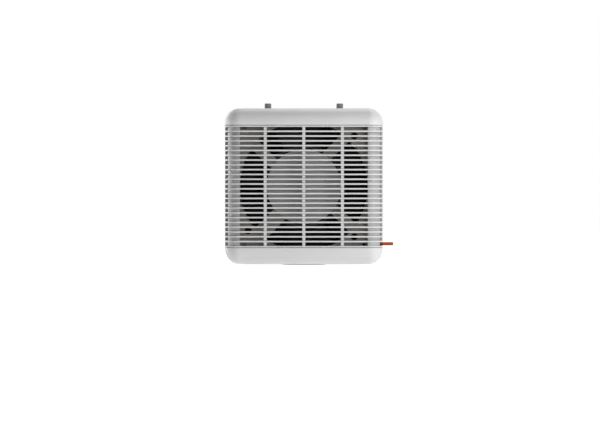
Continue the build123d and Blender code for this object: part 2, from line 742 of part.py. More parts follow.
# Strap under the top with its two studs, which have a thicker neck in the strap and the cap
strap_z = top_z - wall - strap_thickness
with BuildPart() as stud_strap:
    with BuildSketch(Plane.XY.offset(strap_z)):
        RectangleRounded(stud_spacing + 2 * strap_margin, strap_width, 3.0)
        with GridLocations(stud_spacing, 1, 2, 1):
            Circle(stud_neck / 2 + thread_fit, mode=Mode.SUBTRACT)
        with GridLocations(strap_screw_spacing, 1, 2, 1):
            Circle(strap_boss_diameter / 2 + hole_clearance, mode=Mode.SUBTRACT)
    extrude(amount=strap_thickness)
stud_strap.part.label = "stud_strap"
export_step(stud_strap.part, "parts/stud_strap.step")

with BuildPart() as stud_left:
    with Locations((-stud_spacing / 2, 0, strap_z - stud_head_height)):
        Cylinder(stud_head_diameter / 2, stud_head_height, align=on_floor)
    with Locations((-stud_spacing / 2, 0, strap_z)):
        Cylinder(stud_neck / 2, top_z - strap_z, align=on_floor)
    with Locations((-stud_spacing / 2, 0, top_z)):
        Cylinder(stud_diameter / 2, stud_proud, align=on_floor)
    chamfer(stud_left.edges().sort_by(Axis.Z)[-1], length=stud_chamfer)
stud_left.part.label = "stud_left"
export_step(stud_left.part, "parts/stud_left.step")

with BuildPart() as stud_right:
    with Locations((stud_spacing / 2, 0, strap_z - stud_head_height)):
        Cylinder(stud_head_diameter / 2, stud_head_height, align=on_floor)
    with Locations((stud_spacing / 2, 0, strap_z)):
        Cylinder(stud_neck / 2, top_z - strap_z, align=on_floor)
    with Locations((stud_spacing / 2, 0, top_z)):
        Cylinder(stud_diameter / 2, stud_proud, align=on_floor)
    chamfer(stud_right.edges().sort_by(Axis.Z)[-1], length=stud_chamfer)
stud_right.part.label = "stud_right"
export_step(stud_right.part, "parts/stud_right.step")

with BuildPart() as strap_screws:
    with BuildSketch(Plane.XY.offset(strap_z - small_head_height)):
        with GridLocations(strap_screw_spacing, 1, 2, 1):
            RegularPolygon(strap_screw_head / 2, 6, major_radius=False)
    extrude(amount=small_head_height)
    with BuildSketch(Plane.XY.offset(strap_z)):
        with GridLocations(strap_screw_spacing, 1, 2, 1):
            RegularPolygon(small_screw / 2, shank_sides)
    extrude(amount=strap_thickness + 1.2)
strap_screws.part.label = "strap_screws"
export_step(strap_screws.part, "parts/strap_screws.step")

# Copper stub in the lowest side slot, held by a bush on the inside of the wall
probe_end = case_width / 2 + probe_proud
probe_start = case_width / 2 - skin - probe_inside
with BuildPart() as copper_probe:
    with BuildSketch(Plane.YZ.offset(probe_start)):
        with Locations((probe_y, probe_z)):
            Circle(probe_diameter / 2)
    extrude(amount=probe_end - probe_start)
    fillet(copper_probe.edges().sort_by(Axis.X)[-1], radius=probe_diameter * 0.3)
copper_probe.part.label = "copper_probe"
export_step(copper_probe.part, "parts/copper_probe.step")

with BuildPart() as probe_bush:
    with BuildSketch(Plane.YZ.offset(case_width / 2 - skin - bush_length)):
        with Locations((probe_y, probe_z)):
            Circle(bush_diameter / 2)
            Circle(probe_diameter / 2 + thread_fit, mode=Mode.SUBTRACT)
    extrude(amount=bush_length)
probe_bush.part.label = "probe_bush"
export_step(probe_bush.part, "parts/probe_bush.step")

# Rubber foot in its recess
with BuildPart() as foot_pad:
    Cylinder(foot_diameter / 2, foot_proud + foot_recess, align=on_floor)
    chamfer(foot_pad.edges().sort_by(Axis.Z)[0], length=foot_chamfer)
foot_pad.part.label = "foot_pad"
export_step(foot_pad.part, "parts/foot_pad.step")

# Power inlet in the back, with its nut on the inside
with BuildPart() as power_inlet:
    with BuildSketch(facing(back_y + inlet_flange_thickness, inlet_z)):
        with Locations((inlet_x, 0)):
            Circle(inlet_flange / 2)
    extrude(amount=inlet_flange_thickness)
    with BuildSketch(facing(back_y, inlet_z)):
        with Locations((inlet_x, 0)):
            Circle(inlet_barrel / 2)
    extrude(amount=inlet_length)
    with BuildSketch(facing(back_y + inlet_flange_thickness, inlet_z)):
        with Locations((inlet_x, 0)):
            Circle(inlet_socket / 2)
            Circle(inlet_pin / 2, mode=Mode.SUBTRACT)
    extrude(amount=inlet_length - 3, mode=Mode.SUBTRACT)
power_inlet.part.label = "power_inlet"
export_step(power_inlet.part, "parts/power_inlet.step")

with BuildPart() as inlet_nut:
    with BuildSketch(facing(rear_inner, inlet_z)):
        with Locations((inlet_x, 0)):
            RegularPolygon(inlet_nut_flats / 2, 6, major_radius=False)
            Circle(inlet_barrel / 2 + thread_fit, mode=Mode.SUBTRACT)
    extrude(amount=inlet_nut_height)
inlet_nut.part.label = "inlet_nut"
export_step(inlet_nut.part, "parts/inlet_nut.step")

# Control board on its posts, with the tall components and the screws
with BuildPart() as control_board:
    with BuildSketch(Plane.XY.offset(board_z)):
        with Locations((0, board_y)):
            Rectangle(board_length, board_width)
        with Locations(*board_posts):
            Circle(small_screw / 2 + hole_clearance, mode=Mode.SUBTRACT)
    extrude(amount=board_thickness)
control_board.part.label = "control_board"
export_step(control_board.part, "parts/control_board.step")

board_top = board_z + board_thickness
with BuildPart() as board_components:
    with Locations((-board_length * 0.32, board_y, board_top)):
        Box(terminal_length, terminal_width, terminal_height, align=on_floor)
    with Locations((-board_length * 0.1, board_y, board_top), (board_length * 0.025, board_y, board_top)):
        Cylinder(capacitor_diameter / 2, capacitor_height, align=on_floor)
    with Locations((board_length * 0.27, board_y, board_top)):
        Box(driver_length, driver_width, driver_height, align=on_floor)
board_components.part.label = "board_components"
export_step(board_components.part, "parts/board_components.step")

with BuildPart() as board_screws:
    with BuildSketch(Plane.XY.offset(board_top)):
        with Locations(*board_posts):
            RegularPolygon(small_head / 2, 6)
    extrude(amount=small_head_height)
    with BuildSketch(Plane.XY.offset(base_z + wall + 0.4)):
        with Locations(*board_posts):
            RegularPolygon(small_screw / 2, shank_sides)
    extrude(amount=board_rise + board_thickness - 0.4)
board_screws.part.label = "board_screws"
export_step(board_screws.part, "parts/board_screws.step")

# Leads: motor to board through the strut's channel, inlet to board, copper stub to board
lead_in_x = lead_root * cos(radians(lead_angle))
lead_in_z = mid_z + lead_root * sin(radians(lead_angle))
lead_out_x = lead_reach * cos(radians(lead_angle))
lead_out_z = mid_z + lead_reach * sin(radians(lead_angle))
lead_low = board_z - lead_diameter / 2 - 0.4
motor_route = [
    (lead_in_x, motor_board_y - motor_board_thickness, lead_in_z),
    (lead_in_x, lead_y, lead_in_z),
    (lead_out_x, lead_y, lead_out_z),
    (lead_out_x, rod_front, lead_out_z),
    (lead_out_x, rod_front, lead_low),
    (lead_out_x, fan_back - 3, lead_low),
    (-board_length * 0.35, fan_back - 3, lead_low),
    (-board_length * 0.35, board_y - 4, lead_low),
]
inlet_route = [
    (inlet_x + 2, back_y - inlet_length, inlet_z),
    (inlet_x + 2, back_y - inlet_length - 4, inlet_z),
    (inlet_x + 2, back_y - inlet_length - 4, board_top + terminal_height),
]
probe_route = [
    (probe_start, probe_y, probe_z),
    (probe_start - 5, probe_y, probe_z),
    (probe_start - 5, probe_y, lead_low),
    (probe_start - 5, fan_back - 1, lead_low),
    (board_length * 0.35, fan_back - 1, lead_low),
    (board_length * 0.35, board_y - 4, lead_low),
]
with BuildPart() as leads:
    for route in (motor_route, inlet_route, probe_route):
        with BuildLine() as run:
            Polyline(*route)
        with BuildSketch(Plane(origin=run.line @ 0, z_dir=run.line % 0)):
            RegularPolygon(lead_diameter / 2, lead_sides)
        sweep(path=run.line, transition=Transition.RIGHT)
leads.part.label = "leads"
export_step(leads.part, "parts/leads.step")
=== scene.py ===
import math

import bmesh
import bpy
from mathutils import Matrix, Vector


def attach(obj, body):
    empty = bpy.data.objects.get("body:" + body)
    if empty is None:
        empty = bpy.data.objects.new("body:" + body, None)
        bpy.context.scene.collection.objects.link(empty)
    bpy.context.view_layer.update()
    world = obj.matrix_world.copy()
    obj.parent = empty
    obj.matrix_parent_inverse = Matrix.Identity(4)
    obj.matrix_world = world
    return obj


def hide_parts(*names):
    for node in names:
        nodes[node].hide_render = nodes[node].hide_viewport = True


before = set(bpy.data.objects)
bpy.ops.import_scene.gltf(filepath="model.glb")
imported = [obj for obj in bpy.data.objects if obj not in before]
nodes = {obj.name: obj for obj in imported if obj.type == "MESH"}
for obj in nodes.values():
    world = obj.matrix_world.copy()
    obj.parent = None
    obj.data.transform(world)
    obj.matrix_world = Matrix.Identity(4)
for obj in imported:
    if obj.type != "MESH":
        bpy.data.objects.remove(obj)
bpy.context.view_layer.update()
scene = bpy.context.scene
scene.view_settings.view_transform = "Standard"
mm = 0.001
print("frame loaded:", len(nodes), "nodes")

# Sizes shared by the pieces of the case, in millimetres, as in the solids
case = {
    "halfWidth": 70.0, "front": -38.0, "back": 38.0, "corner": 13.4,
    "base": 0.8, "lowSeam": 15.8, "middle": 69.8, "highSeam": 123.8, "top": 138.8,
    "split": 11.2, "wall": 2.2, "reveal": 0.2, "revealDepth": 1.5,
}


def toLinear(hexText):
    parts = [int(hexText[i:i + 2], 16) / 255 for i in (1, 3, 5)]
    return tuple(c / 12.92 if c <= 0.04045 else ((c + 0.055) / 1.055) ** 2.4 for c in parts) + (1.0,)


def addNode(tree, kind, values=None, links=None, **settings):
    node = tree.nodes.new(kind)
    for key, value in settings.items():
        setattr(node, key, value)
    for key, value in (values or {}).items():
        node.inputs[key].default_value = value
    for key, source in (links or {}).items():
        tree.links.new(source, node.inputs[key])
    return node


def perMm(sizeMm):
    return 1000.0 / sizeMm  # a texture scale that gives features of this size


def startMaterial(name, **sockets):
    material = bpy.data.materials.new(name)
    material.use_nodes = True
    tree = material.node_tree
    tree.nodes.clear()
    shader = addNode(tree, "ShaderNodeBsdfPrincipled", sockets)
    addNode(tree, "ShaderNodeOutputMaterial", links={"Surface": shader.outputs["BSDF"]})
    place = addNode(tree, "ShaderNodeTexCoord").outputs["Object"]
    return material, tree, shader, place


def noiseAt(tree, place, sizeMm, detail):
    values = {"Scale": perMm(sizeMm), "Detail": detail}
    return addNode(tree, "ShaderNodeTexNoise", values, {"Vector": place}).outputs["Fac"]


# Noise drawn out along X: one size along it, another across it
def linesAt(tree, place, runMm, lineMm, detail):
    drawn = addNode(tree, "ShaderNodeMapping", {"Scale": (perMm(runMm), perMm(lineMm), perMm(lineMm))},
                    {"Vector": place})
    values = {"Scale": 1.0, "Detail": detail}
    return addNode(tree, "ShaderNodeTexNoise", values, {"Vector": drawn.outputs["Vector"]}).outputs["Fac"]


def remap(tree, value, fromRange=(0.0, 1.0), toRange=(0.0, 1.0)):
    values = {"From Min": fromRange[0], "From Max": fromRange[1], "To Min": toRange[0], "To Max": toRange[1]}
    return addNode(tree, "ShaderNodeMapRange", values, {"Value": value}).outputs["Result"]


# Mixes two colours, each a hex text or another node's output; 6, 7 and 2 are a mix node's colour sockets
def blend(tree, amount, first, second):
    node = addNode(tree, "ShaderNodeMix", links={0: amount}, data_type="RGBA")
    for socket, colour in ((6, first), (7, second)):
        if isinstance(colour, str):
            node.inputs[socket].default_value = toLinear(colour)
        else:
            tree.links.new(colour, node.inputs[socket])
    return node.outputs[2]


# Colour, then the roughness range and the bump's strength and depth in millimetres, both over one pattern
def finishShader(tree, shader, colour, pattern, gloss=None, bump=None):
    tree.links.new(colour, shader.inputs["Base Color"])
    if gloss:
        tree.links.new(remap(tree, pattern, toRange=gloss), shader.inputs["Roughness"])
    if bump:
        strength, depthMm = bump
        relief = addNode(tree, "ShaderNodeBump", {"Strength": strength, "Distance": depthMm * mm}, {"Height": pattern})
        tree.links.new(relief.outputs["Normal"], shader.inputs["Normal"])


# Light grey ABS from a spark-eroded mould: even pale tone, fine grain, wide soft highlight.
# The grain is really about 0.2 mm and is drawn at 0.7 mm so that it shows.
# Grooves and seams get painted shade: the tone falls to a dark grey where the surface is hemmed in within a few
# millimetres.
caseFinish = {
    "shade": "#D2D2D2", "pale": "#D9D9D9", "dustyAndShaded": "#888888", "grainMm": 0.7, "cloudMm": 35,
    "gloss": (0.42, 0.56), "bump": (0.35, 0.012), "recessMm": 3.5, "recessRays": 12, "shadedToOpen": (0.25, 0.85),
}


def makeCasePlastic(name, besideOthers):
    material, tree, shader, place = startMaterial(name, IOR=1.5)
    grain = noiseAt(tree, place, caseFinish["grainMm"], detail=3.0)
    cloud = noiseAt(tree, place, caseFinish["cloudMm"], detail=2.0)
    tone = blend(tree, cloud, caseFinish["shade"], caseFinish["pale"])
    # Painted shade: ambient occlusion within a few millimetres darkens the colour in grooves and seams
    hemmed = addNode(tree, "ShaderNodeAmbientOcclusion", {"Distance": caseFinish["recessMm"] * mm},
                     samples=caseFinish["recessRays"], only_local=not besideOthers)
    unshadedShare = remap(tree, hemmed.outputs["AO"], caseFinish["shadedToOpen"])
    shadeDarkened = blend(tree, unshadedShare, caseFinish["dustyAndShaded"], tone)
    finishShader(tree, shader, shadeDarkened, grain, caseFinish["gloss"], caseFinish["bump"])
    return material


# Die-cast aluminium under a stoved warm grey coat: slight orange peel, small dark pits.
# Painted shade darkens it towards black behind its front face, out to a set distance round the bore.
castFinish = {
    "shade": "#82807B", "dark": "#74726E", "dustAndShade": "#000000", "peelMm": 1.4, "pitMm": 3.0, "pitRim": (0.05, 0.22),
    "gloss": (0.45, 0.65), "bump": (0.5, 0.03),
    "unshadedY": -28.2, "shadedY": -25.5, "shadeReach": 67.0, "shadeFade": 2.0, "shadeCover": 0.8,
}


def makeCastCoat():
    material, tree, shader, place = startMaterial("stoved grey die casting", IOR=1.5)
    peel = noiseAt(tree, place, castFinish["peelMm"], detail=2.0)
    pits = addNode(tree, "ShaderNodeTexVoronoi", {"Scale": perMm(castFinish["pitMm"])}, {"Vector": place})
    speck = remap(tree, pits.outputs["Distance"], castFinish["pitRim"])
    tone = blend(tree, speck, castFinish["dark"], castFinish["shade"])
    # Painted shade: darker behind the front face and within a set distance of the axis
    along = addNode(tree, "ShaderNodeSeparateXYZ", links={"Vector": place})
    deep = remap(tree, along.outputs["Y"], (castFinish["unshadedY"] * mm, castFinish["shadedY"] * mm))
    flat = addNode(tree, "ShaderNodeVectorMath", {1: (1, 0, 1)}, {0: place}, operation="MULTIPLY")
    out = addNode(tree, "ShaderNodeVectorMath", {1: (0, 0, case["middle"] * mm)}, {0: flat.outputs["Vector"]},
                  operation="DISTANCE")
    reach = castFinish["shadeReach"]
    near = remap(tree, out.outputs["Value"], (reach * mm, (reach + castFinish["shadeFade"]) * mm),
                 (castFinish["shadeCover"], 0.0))
    dustAndShade = addNode(tree, "ShaderNodeMath", links={0: deep, 1: near}, operation="MULTIPLY")
    shadeDarkened = blend(tree, dustAndShade.outputs["Value"], tone, castFinish["dustAndShade"])
    finishShader(tree, shader, shadeDarkened, peel, castFinish["gloss"], castFinish["bump"])
    return material


# Lacquered aluminium disc over the hub: flat mid grey with faint lines from the rolling, along X
hubFinish = {"shade": "#959595", "pale": "#9F9F9F", "lineMm": 1.2, "runMm": 40, "gloss": (0.65, 0.8)}


def makeHubPlate():
    material, tree, shader, place = startMaterial("lacquered aluminium disc", IOR=1.5)
    lines = linesAt(tree, place, hubFinish["runMm"], hubFinish["lineMm"], detail=3.0)
    tone = blend(tree, lines, hubFinish["shade"], hubFinish["pale"])
    finishShader(tree, shader, tone, lines, hubFinish["gloss"])
    return material


# Glass-filled nylon, black: mottled by the fibres, half matt. Also the inlet, the leads and the small housings
nylonFinish = {"shade": "#0A0A0A", "pale": "#151515", "fibreMm": 1.6, "gloss": (0.55, 0.7), "bump": (0.3, 0.02)}


def makeBlackNylon():
    material, tree, shader, place = startMaterial("glass filled black nylon", IOR=1.35)
    fibre = noiseAt(tree, place, nylonFinish["fibreMm"], detail=4.0)
    tone = blend(tree, fibre, nylonFinish["shade"], nylonFinish["pale"])
    finishShader(tree, shader, tone, fibre, nylonFinish["gloss"], nylonFinish["bump"])
    return material


# Plated and plain steels: a soft cloudy bloom, whose size, brightness and gloss differ from sheet to screw
def makeSteel(name, shade, pale, bloomMm, gloss, metallic=1.0):
    material, tree, shader, place = startMaterial(name, Metallic=metallic)
    bloom = noiseAt(tree, place, bloomMm, detail=3.0)
    finishShader(tree, shader, blend(tree, bloom, shade, pale), bloom, gloss)
    return material


# Drawn copper rod, handled and a little oxidised: brown patches, fine lines along its length, which is X
copperFinish = {
    "bright": "#98501F", "brown": "#6E3612", "rim": "#B06A3C", "patchMm": 3.0, "lineMm": 0.4, "runMm": 9.0,
    "gloss": (0.28, 0.5), "bump": (0.3, 0.01),
}


def makeCopper():
    material, tree, shader, place = startMaterial("drawn copper", Metallic=1.0)
    shader.inputs["Specular Tint"].default_value = toLinear(copperFinish["rim"])
    patch = noiseAt(tree, place, copperFinish["patchMm"], detail=4.0)
    tone = blend(tree, patch, copperFinish["brown"], copperFinish["bright"])
    lines = linesAt(tree, place, copperFinish["runMm"], copperFinish["lineMm"], detail=2.0)
    finishShader(tree, shader, tone, lines, copperFinish["gloss"], copperFinish["bump"])
    return material


# Moulded rubber: matt, dusty where the skin is rubbed. Sintered ferrite has the same dull skin
rubberFinish = {"gloss": (0.7, 0.9), "bump": (0.4, 0.03)}


def makeRubber(name, shade, dustyAndShaded, grainMm):
    material, tree, shader, place = startMaterial(name, IOR=1.52)
    dustAndShade = noiseAt(tree, place, grainMm, detail=5.0)
    finishShader(tree, shader, blend(tree, dustAndShade, shade, dustyAndShaded), dustAndShade, rubberFinish["gloss"], rubberFinish["bump"])
    return material


# Stacked or wound material: fine bands along Y. Laminations are really 0.5 mm thick and wire turns 0.6 mm.
# The wave texture runs 20 radians per unit, so the bands come out about six times as wide, and show.
bandFinish = {"waveUnit": 20.0, "distortion": 0.4, "bump": (0.6, 0.05)}


def makeBanded(name, shade, pale, pitchMm, rough):
    material, tree, shader, place = startMaterial(name, Metallic=1.0, Roughness=rough)
    values = {"Scale": perMm(pitchMm) / bandFinish["waveUnit"], "Distortion": bandFinish["distortion"]}
    bands = addNode(tree, "ShaderNodeTexWave", values, {"Vector": place},
                    wave_type="BANDS", bands_direction="Y").outputs["Fac"]
    finishShader(tree, shader, blend(tree, bands, shade, pale), bands, bump=bandFinish["bump"])
    return material


# Glass-epoxy board under green solder mask: copper tracks show as paler lines, 6 mm apart one way, 3 mm the other
boardFinish = {"mask": "#0E4A2A", "track": "#1B6A3C", "trackMm": 6.0, "trackShare": 0.03, "rough": 0.35}


def makeBoard():
    material, tree, shader, place = startMaterial("solder masked board", Roughness=boardFinish["rough"], IOR=1.5)
    mask = toLinear(boardFinish["mask"])
    values = {"Scale": perMm(boardFinish["trackMm"]) / 2, "Mortar Size": boardFinish["trackShare"],
              "Color1": mask, "Color2": mask, "Mortar": toLinear(boardFinish["track"])}
    tracks = addNode(tree, "ShaderNodeTexBrick", values, {"Vector": place})
    finishShader(tree, shader, tracks.outputs["Color"], None)
    return material


# The base takes painted shade from its own recesses only, so that the floor doesn't darken it
casePlastic = makeCasePlastic("spark grained ABS", True)
basePlastic = makeCasePlastic("spark grained ABS of the base", False)
castCoat = makeCastCoat()
hubPlate = makeHubPlate()
blackNylon = makeBlackNylon()
zincSheet = makeSteel("zinc plated sheet steel", "#A9A9A6", "#BEBEBC", 7.0, (0.35, 0.55))
zincScrew = makeSteel("zinc plated screw steel", "#9FA0A0", "#C3C4C4", 2.0, (0.28, 0.45))
studSteel = makeSteel("phosphated stud steel", "#787878", "#868686", 1.5, (0.6, 0.75), 0.25)
blackSteel = makeSteel("black oxide steel", "#3A3A3B", "#444445", 3.0, (0.5, 0.65), 0.6)
groundSteel = makeSteel("ground bearing steel", "#A6A6AA", "#BDBDC0", 1.0, (0.15, 0.3))
copperRod = makeCopper()
blackRubber = makeRubber("black rubber", "#141414", "#222222", 2.0)
greyRubber = makeRubber("pale grey rubber", "#A9A9A7", "#B8B8B6", 2.5)
lamination = makeBanded("silicon steel laminations", "#55565A", "#77787C", 0.5, 0.45)
enamelWire = makeBanded("enamelled copper wire", "#7A3B16", "#B8622C", 0.6, 0.3)
ferrite = makeRubber("sintered ferrite", "#232326", "#2E2E31", 1.0)
boardGreen = makeBoard()
print("materials made:", len(bpy.data.materials))


def addObject(name, data):
    item = bpy.data.objects.new(name, data)
    scene.collection.objects.link(item)
    return item


def finishPiece(name, mesh, material, body, slotName, *replaced):
    mesh.materials.clear()
    mesh.materials.append(material)
    mesh.name = name
    piece = addObject(name, mesh)
    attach(piece, body)
    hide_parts(*replaced)
    print("piece", name, len(mesh.polygons), "faces")
    return piece


def bakeMesh(holder):
    bpy.context.view_layer.update()
    depsgraph = bpy.context.evaluated_depsgraph_get()
    mesh = bpy.data.meshes.new_from_object(holder.evaluated_get(depsgraph))
    holder.modifiers.clear()
    bpy.data.objects.remove(holder)
    return mesh


def meshFrom(work, name):
    mesh = bpy.data.meshes.new(name)
    work.to_mesh(mesh)
    work.free()
    return mesh


def smoothBelow(mesh, angle):
    mesh.shade_smooth()
    mesh.set_sharp_from_angle(angle=math.radians(angle))


def bridge(work, ring, nextRing):
    for i in range(len(ring)):
        j = (i + 1) % len(ring)
        work.faces.new((ring[i], ring[j], nextRing[j], nextRing[i]))


# One tree sweeps a rounded bar along a plan line and repeats it: slats, rails, walls and ribs
barSteps = {"turn": 12, "edge": 3}


def makeBarTree():
    tree = bpy.data.node_groups.new("barsAlongPlan", "GeometryNodeTree")
    wanted = {"Plan": "Geometry", "Count": "Int", "First": "Vector", "Step": "Vector", "Depth": "Float",
              "Height": "Float", "Turn radius": "Float", "Edge radius": "Float", "Finish": "Material"}
    sockets = {}
    for name, kind in wanted.items():
        made = tree.interface.new_socket(name=name, in_out="INPUT", socket_type="NodeSocket" + kind)
        sockets[name] = made.identifier
    tree.interface.new_socket(name="Bars", in_out="OUTPUT", socket_type="NodeSocketGeometry")
    given = addNode(tree, "NodeGroupInput").outputs
    line = addNode(tree, "GeometryNodeMeshToCurve", links={"Mesh": given["Plan"]})
    turned = addNode(tree, "GeometryNodeFilletCurve", {"Count": barSteps["turn"], "Limit Radius": True},
                     {"Curve": line.outputs["Curve"], "Radius": given["Turn radius"]}, mode="POLY")
    level = addNode(tree, "GeometryNodeSetCurveNormal", links={"Curve": turned.outputs["Curve"]}, mode="Z_UP")
    section = addNode(tree, "GeometryNodeCurvePrimitiveQuadrilateral",
                      links={"Width": given["Depth"], "Height": given["Height"]}, mode="RECTANGLE")
    softened = addNode(tree, "GeometryNodeFilletCurve", {"Count": barSteps["edge"], "Limit Radius": True},
                       {"Curve": section.outputs["Curve"], "Radius": given["Edge radius"]}, mode="POLY")
    bar = addNode(tree, "GeometryNodeCurveToMesh", {"Fill Caps": True},
                  {"Curve": level.outputs["Curve"], "Profile Curve": softened.outputs["Curve"]})
    rows = addNode(tree, "GeometryNodeMeshLine", mode="OFFSET",
                   links={"Count": given["Count"], "Start Location": given["First"], "Offset": given["Step"]})
    stacked = addNode(tree, "GeometryNodeInstanceOnPoints",
                      links={"Points": rows.outputs["Mesh"], "Instance": bar.outputs["Mesh"]})
    real = addNode(tree, "GeometryNodeRealizeInstances", links={"Geometry": stacked.outputs["Instances"]})
    painted = addNode(tree, "GeometryNodeSetMaterial",
                      links={"Geometry": real.outputs["Geometry"], "Material": given["Finish"]})
    addNode(tree, "NodeGroupOutput", links={"Bars": painted.outputs["Geometry"]})
    return tree, sockets


barTree, barSockets = makeBarTree()


def barsAlong(plans, count, first, step, depth, height, turn, edge):
    points, edges = [], []
    for plan in plans:
        edges += [(len(points) + i, len(points) + i + 1) for i in range(len(plan) - 1)]
        points += [(x * mm, y * mm, 0) for x, y in plan]
    mesh = bpy.data.meshes.new("plan")
    mesh.from_pydata(points, edges, [])
    holder = addObject("bars", mesh)
    bars = holder.modifiers.new("bars", "NODES")
    bars.node_group = barTree
    for name, value in (("Count", count), ("First", [v * mm for v in first]), ("Step", [v * mm for v in step]),
                        ("Depth", depth * mm), ("Height", height * mm), ("Turn radius", turn * mm),
                        ("Edge radius", edge * mm), ("Finish", casePlastic)):
        bars[barSockets[name]] = value
    return bakeMesh(holder)


# Front grille: slats round both front corners, a rail above and below, a wall with a window and three ribs behind.
# The slats run a little into the side panels, and the ribs into the rails.
grille = {
    "slatCount": 24, "slatHeight": 1.5, "slatDraft": 0.15, "slatDepth": 2.8, "slatEdge": 0.18, "slatRunIn": 1,
    "endExtra": 0.45, "grooveEnd": -10.0, "railHeight": 1.5, "railEdge": 0.08, "railGap": 0.32,
    "wallDepth": 1.4, "wallEdge": 0.1, "wallPlay": 0.2, "windowHalf": 56.4,
    "ribCount": 3, "ribPitch": 34.0, "ribWidth": 2.6, "ribSetback": 0.9, "ribEdge": 0.1, "ribRunIn": 1,
    "smoothAngle": 40,
}
openHeight = case["highSeam"] - case["lowSeam"] - 2 * (grille["railHeight"] + grille["endExtra"])
slotHeight = (openHeight - grille["slatCount"] * grille["slatHeight"]) / (grille["slatCount"] + 1)


def planRound(inset, endY):
    side, front = case["halfWidth"] - inset, case["front"] + inset
    return [(-side, endY), (-side, front), (side, front), (side, endY)]


def makeFrontGrille():
    g, tall = grille, case["highSeam"] - case["lowSeam"]
    middle, once = (0, 0, case["middle"]), (0, 0, 1)
    skin = g["slatDepth"] + g["wallDepth"]

    half = g["slatDepth"] / 2
    firstSlat = case["lowSeam"] + g["railHeight"] + g["endExtra"] + slotHeight + g["slatHeight"] / 2
    slats = barsAlong([planRound(half, g["grooveEnd"] + g["slatRunIn"])], g["slatCount"],
                      (0, 0, firstSlat), (0, 0, slotHeight + g["slatHeight"]), depth=g["slatDepth"],
                      height=g["slatHeight"] - g["slatDraft"], turn=case["corner"] - half, edge=g["slatEdge"])

    rail = g["railHeight"] - g["railGap"]
    rails = barsAlong([planRound(skin / 2, case["split"])], 2, (0, 0, case["lowSeam"] + g["railGap"] + rail / 2),
                      (0, 0, tall - 2 * g["railGap"] - rail), depth=skin, height=rail,
                      turn=case["corner"] - skin / 2, edge=g["railEdge"])

    inset = g["slatDepth"] + g["wallDepth"] / 2
    side, front = case["halfWidth"] - inset, case["front"] + inset
    wallPlans = [[(s * side, case["split"]), (s * side, front), (s * g["windowHalf"], front)] for s in (-1, 1)]
    walls = barsAlong(wallPlans, 1, middle, once, depth=g["wallDepth"], height=tall - g["wallPlay"],
                      turn=case["corner"] - inset, edge=g["wallEdge"])

    edge = case["halfWidth"] - half
    panelPlans = [[(s * edge, g["grooveEnd"]), (s * edge, case["split"])] for s in (-1, 1)]
    panels = barsAlong(panelPlans, 1, middle, once, depth=g["slatDepth"], height=tall, turn=0, edge=g["railEdge"])

    ribDepth = skin - g["ribSetback"]
    ribY = case["front"] + g["ribSetback"] + ribDepth / 2
    ribs = barsAlong([[(-g["ribWidth"] / 2, ribY), (g["ribWidth"] / 2, ribY)]], g["ribCount"],
                     (-g["ribPitch"], 0, case["middle"]), (g["ribPitch"], 0, 0), depth=ribDepth,
                     height=tall - 2 * g["railHeight"] + g["ribRunIn"], turn=0, edge=g["ribEdge"])

    work = bmesh.new()
    for mesh in (slats, rails, walls, panels, ribs):
        work.from_mesh(mesh)
    joined = meshFrom(work, "joined")
    smoothBelow(joined, g["smoothAngle"])
    return finishPiece("frontGrille", joined, casePlastic, "housing", "case_plastic", "front_grille")


makeFrontGrille()

# Caps: a quarter-round edge all round, a shadow seam with a slightly eased lip, hollow inside
capShape = {
    "height": 15.0, "arcSteps": 12, "cornerSteps": 14, "leastRadius": 0.02, "lipRound": 0.12, "lipEase": 0.3,
    "weldMm": 0.002, "smoothAngle": 32,
}


# A closed loop round the case at one inset and height, with the same number of points at every inset
def planLoop(inset, z):
    radius = max(case["corner"] - inset, capShape["leastRadius"])
    cornerX, cornerY = case["halfWidth"] - inset - radius, case["back"] - inset - radius
    steps = capShape["cornerSteps"]
    loop = []
    for turn, (sx, sy) in enumerate(((1, 1), (-1, 1), (-1, -1), (1, -1))):
        for i in range(steps + 1):
            angle = math.radians(90 * turn + 90 * i / steps)
            loop.append((sx * cornerX + radius * math.cos(angle), sy * cornerY + radius * math.sin(angle), z))
    return loop


def capProfile(inset, fromSeam):
    radius = case["corner"] - inset
    straight = capShape["height"] - case["corner"]
    points = [(inset, fromSeam)]
    for i in range(capShape["arcSteps"] + 1):
        angle = math.radians(90 * i / capShape["arcSteps"])
        points.append((inset + radius * (1 - math.cos(angle)), straight + radius * math.sin(angle)))
    return points


# Round holes cut straight down, each as centre, radius, low and high
drill = {"sides": 48, "startZ": -2}


def cutHoles(mesh, holes):
    work = bmesh.new()
    for x, y, radius, low, high in holes:
        place = Matrix.Translation((x * mm, y * mm, (low + high) / 2 * mm))
        bmesh.ops.create_cone(work, cap_ends=True, segments=drill["sides"], radius1=radius * mm, radius2=radius * mm,
                              depth=(high - low) * mm, matrix=place)
    tool = addObject("drill", meshFrom(work, "drill"))
    holder = addObject("drilled", mesh)
    cut = holder.modifiers.new("holes", "BOOLEAN")
    cut.operation = "DIFFERENCE"
    cut.object = tool
    cut.solver = "EXACT"
    done = bakeMesh(holder)
    bpy.data.objects.remove(tool)
    return done


